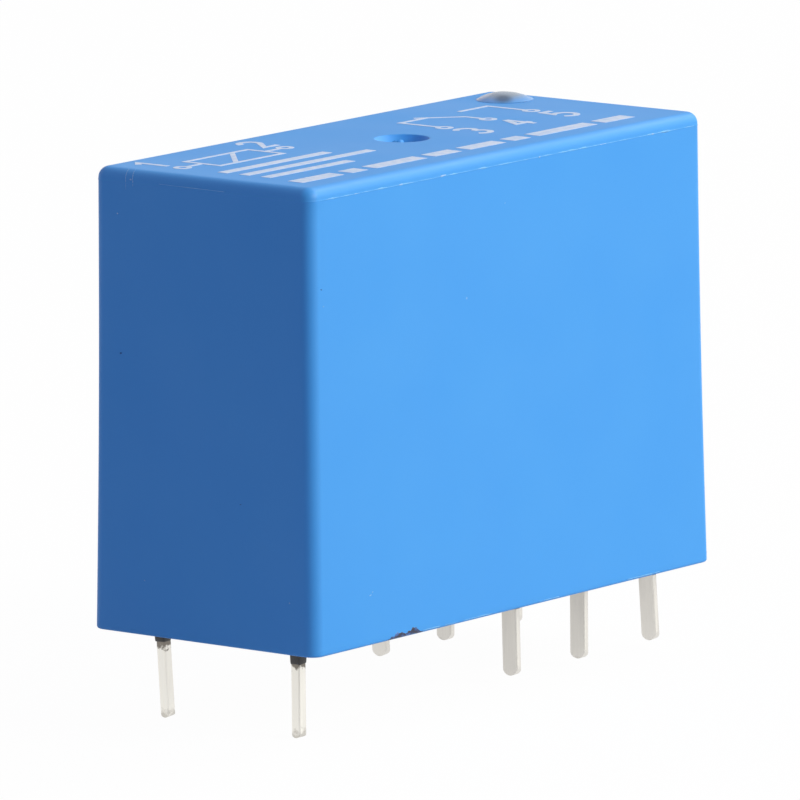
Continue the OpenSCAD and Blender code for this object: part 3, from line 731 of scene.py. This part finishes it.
def mould_and_handling_marks():
    """Flash on the seam, drawn paler as a painted highlight, pale scratches over the roof's edge, and
    bruised or torn specks.
    """
    seam = HEIGHT - SEAM_DROP
    flash = bmesh.new()
    bead(flash, wall_line((-13.75, seam), (13.75, seam), 150, False), 0.08, 0.01)
    bead(flash, wall_line((2.4, seam + 0.1), (-1.4, seam + 0.07), 24, True), 0.03, 0.008)
    bead(flash, wall_line((5.2, seam), (4.3, seam), 8, True), 0.03, 0.008)
    # Flash on the rim, where the mould's halves met
    for along, length in ((-6.9, 1.3), (-5.3, 0.9), (-4.0, 2.2), (1.5, 1.6), (8.0, 2.6)):
        bead(flash, wall_line((along, 0.1), (along + length, 0.1), 14, False), 0.05, 0.004)
    # The flash is drawn paler than the case: a painted highlight for the light caught along these thin
    # ridges
    squeezed = bruised_pbt("pbt_flash_painted_highlight", "#62bbfa", "#94d2fd")
    piece("seam_flash", flash, squeezed)
    marks = bmesh.new()
    bead(marks, wall_line((-5.1, seam), (-4.6, seam + 0.03), 6, False), 0.11, 0.02)
    bead(marks, wall_line((2.05, seam - 0.03), (2.2, seam + 0.01), 4, False), 0.12, 0.025)
    for along, length in ((-11.2, 0.5), (-8.0, 0.3), (6.5, 0.6), (10.4, 0.25)):
        bead(marks, wall_line((along, seam), (along + length, seam), 6, False), 0.08, 0.016)
    # Two scratches over the roof's edge
    for y, lean, reach, width in ((3.95, 0.15, 0.22, 0.035), (4.3, 0.1, 0.4, 0.022)):
        path = [over_roof_edge(y - lean * k / 6, 85 - 14 * k) for k in range(7)]
        path += [on_wall(y - lean, HEIGHT - ROOF_EDGE - reach * k / 3, True) for k in range(1, 4)]
        bead(marks, path, width, 0.006)
    # Specks, each given along the wall, by height and by length
    specks = [
        (3.86, 20.16, 0.12, 0.07, True),
        (4.64, 18.6, 0.08, 0.08, True),
        (3.22, 2.44, 0.07, 0.07, True),
        (-4.9, 2.3, 0.06, 0.06, True),
        (-10.6, 2.2, 0.16, 0.05, False),
        (-10.4, 2.32, 0.08, 0.06, False),
        (-13.45, 15.35, 0.08, 0.05, False),
        (-0.45, 18.25, 0.07, 0.05, False),
    ]
    for along, z, length, width, on_end in specks:
        bead(marks, wall_line((along, z), (along + length, z + 0.04), 4, on_end), width, 0.012)
    scuffed = bruised_pbt("scuffed_pbt", "#7fc1f5", "#bcdcf9")
    piece("scuffs", marks, scuffed)
    dirt = bmesh.new()
    for along, z, on_end in ((4.5, 12.45, True), (-13.6, 16.14, False), (-2.2, 6.4, True)):
        bead(dirt, wall_line((along, z), (along + 0.12, z - 0.03), 5, on_end), 0.06, 0.008)
    piece("dirt_specks", dirt, grey_dirt())


# Print on the roof


def arc(x, y, radius, start, end, steps=12, squeeze=1.0):
    """Points on part of a circle, between two angles in degrees."""
    turn = [math.radians(start + (end - start) * k / steps) for k in range(steps + 1)]
    return [(x + squeeze * radius * math.cos(t), y + radius * math.sin(t)) for t in turn]


# Strokes of the terminal numbers, in a field 0.6 wide and 1 high
NUMERALS = {
    "1": [[(0.1, 0.78), (0.34, 1), (0.34, 0)]],
    "2": [arc(0.3, 0.72, 0.28, 170, -40) + [(0.04, 0), (0.58, 0)]],
    "3": [
        arc(0.28, 0.75, 0.25, 150, -80, squeeze=1.1),
        arc(0.28, 0.26, 0.26, 80, -150, squeeze=1.1),
    ],
    "4": [[(0.42, 0), (0.42, 0.97)], [(0.42, 1), (0.02, 0.3), (0.6, 0.3)]],
    "5": [[(0.54, 1), (0.12, 1), (0.08, 0.56)] + arc(0.28, 0.32, 0.31, 110, -150)],
}
INK_FILM = 0.012


def stroke(ink, points, width, level):
    """A line of ink with square ends: one closed ribbon."""
    line = [Vector(p) for p in points]
    left, right = [], []
    for i, p in enumerate(line):
        before = (p - line[i - 1]).normalized() if i else (line[1] - p).normalized()
        after = (line[i + 1] - p).normalized() if i + 1 < len(line) else before
        way = (before + after).normalized()
        side = Vector((-way.y, way.x)) * width / 2 / max(0.5, way.dot(before))
        left.append(p + side)
        right.append(p - side)
    low, high = [], []
    for rows, z in ((low, level), (high, level + INK_FILM)):
        for edge in (left, right):
            rows.append([ink.verts.new((p.x, p.y, z)) for p in edge])
    for i in range(len(line) - 1):
        j = i + 1
        ink.faces.new((high[1][i], high[1][j], high[0][j], high[0][i]))
        ink.faces.new((low[0][i], low[0][j], low[1][j], low[1][i]))
        ink.faces.new((low[1][i], low[1][j], high[1][j], high[1][i]))
        ink.faces.new((low[0][j], low[0][i], high[0][i], high[0][j]))
    for i in (0, -1):
        ink.faces.new((low[0][i], low[1][i], high[1][i], high[0][i]))


def numeral(lines, digit, x, y, height, width):
    """Adds a number's strokes to the lines of the print."""
    for points in NUMERALS[digit]:
        lines.append(([(x + px * height, y + py * height) for px, py in points], width))


def roof_print():
    """A plain wiring diagram, terminal numbers and bars, at the scale of such relays' print."""
    lines = []
    thin, bold = 0.24, 0.3
    # Coil, as a box with leads to its two terminals
    lines += [
        ([(-11.0, 2.5), (-11.0, 3.5), (-6.6, 3.5), (-6.6, 1.5), (-11.0, 1.5), (-11.0, 2.5)], thin),
        ([(-9.9, 1.5), (-7.7, 3.5)], thin),
        ([(-12.1, 2.5), (-11.0, 2.5)], thin),
        ([(-6.6, 2.5), (-5.5, 2.5)], thin),
        (arc(-12.4, 2.5, 0.3, 0, 360, 20), thin),
        (arc(-5.2, 2.5, 0.3, 0, 360, 20), thin),
    ]
    numeral(lines, "1", -13.0, 3.3, 1.7, bold)
    numeral(lines, "2", -5.7, 3.3, 1.7, bold)
    # Changeover contact, at rest
    for x, digit in ((3.6, "3"), (6.8, "4"), (10.0, "5")):
        lines.append((arc(x, 0.4, 0.3, 0, 360, 20), thin))
        numeral(lines, digit, x - 0.5, -2.1, 1.7, bold)
    lines += [
        ([(3.6, 0.7), (3.6, 2.9), (5.7, 2.9)], thin),
        ([(6.8, 0.7), (6.8, 1.7), (5.1, 3.3)], thin),
        ([(10.0, 0.7), (10.0, 2.9), (7.9, 2.9)], thin),
    ]
    # Bars along the front, and shorter ones beside the coil
    x = -12.9
    for length in (2.9, 1.1, 3.6, 1.9, 2.6, 1.2, 4.3, 2.2):
        lines.append(([(x, -4.2), (x + length, -4.2)], 0.85))
        x += length + 0.6
    for y, end in ((0.1, -5.2), (-1.1, -3.6), (-2.3, -6.6)):
        lines.append(([(-12.6, y), (end, y)], 0.55))
    ink = bmesh.new()
    for k, (points, width) in enumerate(lines):
        stroke(ink, points, width, HEIGHT - 0.004 + 0.0001 * k)
    made = piece("roof_print", ink, white_pad_ink())
    made.data.set_sharp_from_angle(angle=math.radians(30))
    return made


# Resin


def vent_drop():
    """A drop of resin over the vent hole: low, not quite round, with a thin edge."""
    rings = [circle(VENT_X, VENT_Y, DROP_RADIUS * 0.9, HEIGHT - 0.03, 56)]
    for share in (0.985, 0.97, 0.93, 0.87, 0.79, 0.69, 0.57, 0.44, 0.3, 0.17, 0.06):
        ring = []
        for k in range(56):
            t = 2 * math.pi * k / 56
            way = Vector((math.cos(t), math.sin(t), 0))
            wobble = 1 + 0.025 * noise.noise(way * 1.5 + Vector((0, 0, 7)))
            # It ran out a little further to one side
            wobble += 0.12 * max(0, math.cos(t + 0.9)) ** 3
            dome = DROP_HEIGHT * (1 - share**2.2) * (1 + 0.07 * share * math.cos(t - 0.8))
            ring.append(Vector((VENT_X, VENT_Y, HEIGHT + dome)) + way * DROP_RADIUS * wobble * share)
        rings.append(ring)
    drop = bmesh.new()
    rows = loft(drop, rings)
    drop.faces.new(rows[0])
    drop.faces.new(rows[-1])
    made = piece("vent_drop", drop, vent_drop_resin())
    made.data.set_sharp_from_angle(angle=math.radians(60))
    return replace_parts(made, "vent_seal")


def resin_smear():
    """Potting resin wiped over the lower edge of the front face: a film with a ragged upper edge."""
    smear = bmesh.new()
    columns, steps = 56, 6
    start, end = -9.45, -6.85
    face, back = [], []
    for i in range(columns + 1):
        share = i / columns
        x = start + (end - start) * share
        hump = 0.62 * math.exp(-(((share - 0.33) / 0.2) ** 2))
        hump += 0.9 * math.exp(-(((share - 0.76) / 0.15) ** 2))
        hump += 0.28 * noise.noise(Vector((x * 5, 0, 3))) + 0.16 * noise.noise(Vector((x * 13, 4, 1)))
        top = RIM_EDGE * 0.4 + 0.38 * max(0.0, hump) * math.sin(math.pi * share) ** 0.4
        for rows, film in ((face, 0.005), (back, -0.03)):
            column = []
            for k in range(steps + 1):
                z = 0.03 + (top - 0.03) * k / steps
                _, half_y = half_sizes(z, 0)
                round_in = max(0.0, RIM_EDGE - z)
                half_y -= RIM_EDGE - math.sqrt(max(0.0, RIM_EDGE**2 - round_in**2))
                swell = math.sin(math.pi * (0.12 + 0.76 * k / steps)) if film > 0 else 1
                column.append(smear.verts.new((x, -half_y - film * swell, z)))
            rows.append(column)
    for i in range(columns):
        for k in range(steps):
            smear.faces.new((face[i][k], face[i + 1][k], face[i + 1][k + 1], face[i][k + 1]))
            smear.faces.new((back[i][k + 1], back[i + 1][k + 1], back[i + 1][k], back[i][k]))
        smear.faces.new((face[i][0], back[i][0], back[i + 1][0], face[i + 1][0]))
        smear.faces.new((face[i + 1][steps], back[i + 1][steps], back[i][steps], face[i][steps]))
    for i in (0, columns):
        for k in range(steps):
            smear.faces.new((face[i][k], face[i][k + 1], back[i][k + 1], back[i][k]))
    return piece("resin_smear", smear, resin_film())


def pin_loop(x, y, half_x, half_y, reach, heights):
    """Points round a pin's section, a distance away from it."""
    turn = 0.06 + max(reach, -0.03)
    run_x, run_y = half_x + reach - turn, half_y + reach - turn
    loop = []
    for k, (sx, sy) in enumerate(((1, 1), (-1, 1), (-1, -1), (1, -1))):
        for i in range(6):
            angle = math.radians(90 * (k + i / 6))
            px = x + sx * run_x + turn * math.cos(angle)
            py = y + sy * run_y + turn * math.sin(angle)
            loop.append(Vector((px, py, heights(px, py))))
    return loop


def potting_layer():
    """The poured layer that closes the underside: it creeps up the walls and down the pins."""
    half_x, half_y = half_sizes(POTTING_LOW, WALL)

    def surface(x, y):
        level = POTTING_LOW + 0.03 * noise.noise(Vector((x / 2.3, y / 2.3, 1)))
        level -= 0.13 * math.exp(-max(0.0, min(half_x - abs(x), half_y - abs(y))) / 0.22)
        for pin_x, pin_y, thick, wide, _ in PINS:
            gap = math.hypot(max(0, abs(x - pin_x) - thick), max(0, abs(y - pin_y) - wide))
            level -= 0.3 * math.exp(-gap / 0.14)
        return level

    def run_down(share, reach):
        """Heights on the film along a pin, a share of the way down to its uneven edge."""
        return lambda px, py: surface(px, py) * (1 - share) - share * reach * (
            0.95 + 0.1 * noise.noise(Vector((px * 4, py * 4, 9)))
        )

    resin = bmesh.new()
    edge = [Vector((p.x, p.y, surface(p.x, p.y))) for p in case_ring(POTTING_LOW, WALL, ROOM_CORNER)]
    low, high = loft(resin, [edge, [Vector((p.x, p.y, POTTING_HIGH)) for p in edge]])
    feet, heads, loose = [], [], []
    for x, y, thick, wide, reach in PINS:
        rings = [pin_loop(x, y, thick, wide, 0.05, surface)]
        for share, film in ((0.3, 0.045), (0.6, 0.04), (0.85, 0.03), (0.97, 0.02), (1, 0.008)):
            rings.append(pin_loop(x, y, thick, wide, film, run_down(share, reach)))
        rings.append(pin_loop(x, y, thick, wide, -0.03, run_down(1, reach)))
        rings.append(pin_loop(x, y, thick, wide, -0.03, lambda px, py: POTTING_HIGH))
        rows = loft(resin, rings)
        feet.append(rows[0])
        heads.append(rows[-1])
        for reach_out in (0.09, 0.15, 0.24, 0.38, 0.6):
            loose += pin_loop(x, y, thick, wide, reach_out, surface)
    for inset in (0.07, 0.16, 0.3, 0.55):
        loose += case_ring(POTTING_LOW, WALL + inset, ROOM_CORNER)
    # A loose grid over the open ground between the pins
    spacing = 0.92
    for i in range(-14, 15):
        for k in range(-5, 6):
            loose.append(Vector((i * spacing, k * spacing, 0)))
    kept = []
    for p in loose:
        room = min(half_x - abs(p.x), half_y - abs(p.y))
        away = [max(abs(p.x - x) - thick, abs(p.y - y) - wide) for x, y, thick, wide, _ in PINS]
        if room > 0.05 and min(away) > 0.06 and not (p.z == 0 and min(room, *away) < 0.7):
            kept.append(resin.verts.new((p.x, p.y, surface(p.x, p.y))))
    fill(resin, low, feet, kept)
    fill(resin, high, heads)
    made = piece("potting_layer", resin, black_potting_epoxy())
    soften(made, 50)
    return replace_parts(made, "potting")


# Springs' leaves, cut along their height


def bending_leaf(node, name, step, body, start, end):
    """A copy of a spring's leaf, cut every step of its height, in place of the spring."""
    leaf = bmesh.new()
    leaf.from_mesh(nodes[node].data)
    low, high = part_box(node)
    cuts = int((high.z - low.z) / (step * MM))
    for k in range(1, cuts):
        level = (0, 0, low.z + (high.z - low.z) * k / cuts)
        whole = leaf.verts[:] + leaf.edges[:] + leaf.faces[:]
        bmesh.ops.bisect_plane(leaf, geom=whole, plane_co=level, plane_no=(0, 0, 1))
    mesh = bpy.data.meshes.new(name)
    leaf.to_mesh(mesh)
    leaf.free()
    made = bpy.data.objects.new(name, mesh)
    bpy.context.scene.collection.objects.link(made)
    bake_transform(made)
    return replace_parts(made, node)


def dress(material, *objects):
    """Gives pieces one material."""
    for made in objects:
        made.data.materials.clear()
        made.data.materials.append(material)


case_shell()
mould_and_handling_marks()
roof_print()
vent_drop()
resin_smear()
potting_layer()

contact_leaf = bending_leaf(
    "moving_spring", "contact_leaf", 0.5, "contact_arm", *CONTACT_LEAF_BEND
)
return_leaf = bending_leaf(
    "return_spring", "return_leaf", 0.4, "armature", *RETURN_LEAF_BEND
)

# Stamped strip, tinned: grey-white with rolling streaks
dress(
    hot_tinned("hot_tinned_copper_strip", "#d9d5cd", "#eeebe6", 0.34, 0.48, 0.0),
    *[nodes[n] for n in ("com_terminal", "nc_terminal", "no_terminal")],
)
# Drawn square wire, tinned: brighter and smoother
dress(
    hot_tinned("hot_tinned_copper_wire", "#f1ede2", "#fcfaf5", 0.28, 0.42, 0.8),
    *[nodes[n] for n in ("coil_pin_front", "coil_pin_rear")],
)
# Glass-filled black PBT: dull, with a coarse filler
dress(moulded("glass_filled_black_pbt", "#1d1d20", "#2f2f33", 0.15, 0.5), nodes["base"])
# Natural polyamide: cream and waxy
dress(moulded("natural_polyamide", "#dcd2b8", "#ece5d2", 0.3, 0.42), nodes["bobbin"])
# Pale phenolic moulding: off-white and matt
dress(moulded("pale_phenolic", "#e2dac8", "#f0eadd", 0.2, 0.55), nodes["actuator_card"])
# Enamelled copper wire: brown and glossy; it is 0.07 mm, too fine to show, so turns are drawn 0.2 mm apart
dress(
    wound("enamelled_copper_wire", "#6d2f16", "#c9703a", 0.2, 0.6, 0.04, 0.7, 0.32),
    *[nodes[n] for n in ("coil_winding", "coil_lead_front", "coil_lead_rear")],
)
# Amber polyester film over the winding: glossy, with the turns under it as faint ribs
dress(
    wound("wrapped_polyester_film", "#c28a1e", "#d9a832", 0.4, 2.0, 0.02, 0.0, 0.2),
    nodes["coil_tape"],
)
# Soft iron, nickel plated: grey and softly bright
dress(
    rolled("nickel_plated_iron", "#a9a79f", "#c3c2bb", 0.3, 1.5, 0.28, 0.42),
    *[nodes[n] for n in ("core", "yoke", "armature")],
)
# Rolled spring steel: bright, straw-tinted
dress(rolled("rolled_spring_steel", "#b3a98f", "#cfc6ae", 0.08, 3, 0.22, 0.36), return_leaf)
# Rolled phosphor bronze: warm and bright
dress(rolled("rolled_phosphor_bronze", "#b97d48", "#d69c62", 0.08, 3, 0.22, 0.36), contact_leaf)
# Brass wire, headed: yellow and softly bright
dress(rolled("headed_brass", "#bfa05a", "#d8bd78", 0.2, 0.4, 0.25, 0.4), nodes["spring_rivets"])
# Silver tin oxide contact metal: white and faintly clouded
dress(
    rolled("silver_contact_alloy", "#cfcdc8", "#e3e1dc", 0.3, 0.3, 0.2, 0.36),
    *[nodes[n] for n in ("moving_contact", "nc_contact", "no_contact")],
)
# Solder, melted and set: bright with a grey bloom
dress(
    rolled("melted_solder", "#a9abb0", "#c8cacd", 0.25, 0.25, 0.2, 0.4), nodes["coil_solder_joints"]
)


# Studio

FLOOR_HALF = 2
floor_mesh = bpy.data.meshes.new("floor")
floor_mesh.from_pydata(
    [
        (sx * FLOOR_HALF, sy * FLOOR_HALF, cad_low.z)
        for sx, sy in ((-1, -1), (1, -1), (1, 1), (-1, 1))
    ],
    [],
    [(0, 1, 2, 3)],
)
floor = bpy.data.objects.new("floor", floor_mesh)
bpy.context.scene.collection.objects.link(floor)

# White paper: it shows white to the camera and still takes the relay's shadow; it is clear from below
PAPER_WHITE = 0.978
TO_RIGHT, TO_CAMERA = (0.787, -0.617, 0), (-0.787, -0.617, 0)
paper, tree, shader, place = new_material("white_paper")
tree.nodes.remove(shader)
seen = add(tree, "ShaderNodeLightPath", {})
direct = add(
    tree,
    "ShaderNodeMath",
    {0: seen.outputs["Is Camera Ray"], 1: seen.outputs["Is Transmission Ray"]},
    operation="MAXIMUM",
)
whole = add(tree, "ShaderNodeMath", {0: direct.outputs[0], 1: PAPER_WHITE}, operation="MULTIPLY")
# In reflections the sheet is brightest to the right, and dark on the camera's side
right_way = add(
    tree, "ShaderNodeVectorMath", {0: place, 1: TO_RIGHT}, operation="DOT_PRODUCT"
)
right_share = add(
    tree,
    "ShaderNodeMapRange",
    {0: right_way.outputs["Value"], 1: -20 * MM, 2: 0.0, 3: 0.93, 4: 1.0},
)
near_way = add(
    tree, "ShaderNodeVectorMath", {0: place, 1: TO_CAMERA}, operation="DOT_PRODUCT"
)
near_share = add(
    tree,
    "ShaderNodeMapRange",
    {0: near_way.outputs["Value"], 1: 28 * MM, 2: 58 * MM, 3: 1.0, 4: 0.05},
)
sheet = add(
    tree,
    "ShaderNodeMath",
    {0: right_share.outputs[0], 1: near_share.outputs[0]},
    operation="MULTIPLY",
)
lift = add(
    tree,
    "ShaderNodeMath",
    {0: whole.outputs[0], 1: seen.outputs["Is Glossy Ray"]},
    operation="MAXIMUM",
)
# It throws back a softer light on the walls than a white sheet would
tone = add(
    tree,
    "ShaderNodeMix",
    {0: direct.outputs[0], 6: "#b8b8c6", 7: "#ffffff"},
    data_type="RGBA",
)
matt = add(tree, "ShaderNodeBsdfDiffuse", {"Color": tone.outputs[2]})
shown = add(
    tree,
    "ShaderNodeMix",
    {0: seen.outputs["Is Glossy Ray"], 6: "#ffffff", 7: sheet.outputs[0]},
    data_type="RGBA",
)
glow = add(tree, "ShaderNodeEmission", {"Color": shown.outputs[2], "Strength": 1.0})
top = add(
    tree, "ShaderNodeMixShader", {0: lift.outputs[0], 1: matt.outputs[0], 2: glow.outputs[0]}
)
under = add(tree, "ShaderNodeNewGeometry", {})
clear = add(tree, "ShaderNodeBsdfTransparent", {})
both = add(
    tree,
    "ShaderNodeMixShader",
    {0: under.outputs["Backfacing"], 1: top.outputs[0], 2: clear.outputs[0]},
)
add(tree, tree.nodes["Material Output"], {"Surface": both.outputs[0]})
floor_mesh.materials.append(paper)

# Camera: a long lens, low on the coil end's front corner
VIEW_RIGHT = Vector((0.61514445, -0.78836405, -0.00891284))
VIEW_UP = Vector((0.13752794, 0.0961651, 0.98581861))
VIEW_BACK = Vector((-0.77632685, -0.60764661, 0.16757751))
CAMERA_PLACE = Vector((-416.6414, -325.8748, 98.7138))
camera_data = bpy.data.cameras.new("camera")
camera_data.sensor_width = 36
camera_data.lens = 541.4
camera_data.clip_start, camera_data.clip_end = 0.01, 20
camera = bpy.data.objects.new("camera", camera_data)
bpy.context.scene.collection.objects.link(camera)
turn = Matrix((VIEW_RIGHT, VIEW_UP, VIEW_BACK)).transposed().to_4x4()
camera.matrix_world = Matrix.Translation(CAMERA_PLACE * MM) @ turn
bpy.context.scene.camera = camera

# Light: a pale room, dark behind the camera, and soft boxes over the front face and the right
world = bpy.data.worlds.new("studio")
world.use_nodes = True
bpy.context.scene.world = world
tree = world.node_tree
seen = add(tree, "ShaderNodeLightPath", {})
mirrored = add(
    tree,
    "ShaderNodeMath",
    {0: seen.outputs["Is Glossy Ray"], 1: seen.outputs["Is Transmission Ray"]},
    operation="MAXIMUM",
)
way = add(tree, "ShaderNodeTexCoord", {})
facing = add(
    tree,
    "ShaderNodeVectorMath",
    {0: way.outputs["Generated"], 1: VIEW_BACK},
    operation="DOT_PRODUCT",
)
room = add(
    tree,
    "ShaderNodeMapRange",
    {0: facing.outputs["Value"], 1: 0.3, 2: 0.85, 3: 0.9, 4: 0.05},
    interpolation_type="SMOOTHSTEP",
)
around = add(
    tree,
    "ShaderNodeMix",
    {0: mirrored.outputs[0], 6: "#908aa0", 7: room.outputs[0]},
    data_type="RGBA",
)
backdrop = add(
    tree,
    "ShaderNodeMix",
    {0: seen.outputs["Is Camera Ray"], 6: around.outputs[2], 7: "#ffffff"},
    data_type="RGBA",
)
add(tree, tree.nodes["Background"], {"Color": backdrop.outputs[2], "Strength": 1.0})

LAMP_REACH, LAMP_SIZE, LAMP_TINT = 0.6, 0.28, (1.0, 1.0, 0.9)
LAMP_AIM = Vector((0, 0, 10 * MM))
# Each lamp's way from the relay, and the level at which it lights a white sheet that faces it
LAMPS = [
    ("front_box", Vector((0.288, -0.851, 0.441)), 0.757),
    ("side_box", Vector((0.776, -0.168, 0.608)), 0.33),
]
for name, way, level in LAMPS:
    data = bpy.data.lights.new(name, "AREA")
    data.shape = "SQUARE"
    data.size = LAMP_SIZE
    data.color = LAMP_TINT
    data.energy = level * math.pi**2 * LAMP_REACH**2
    lamp = bpy.data.objects.new(name, data)
    lamp.location = LAMP_AIM + way.normalized() * LAMP_REACH
    lamp.rotation_mode = "QUATERNION"
    lamp.rotation_quaternion = (-way).to_track_quat("-Z", "Y")
    bpy.context.scene.collection.objects.link(lamp)

bpy.context.scene.view_settings.view_transform = "Standard"
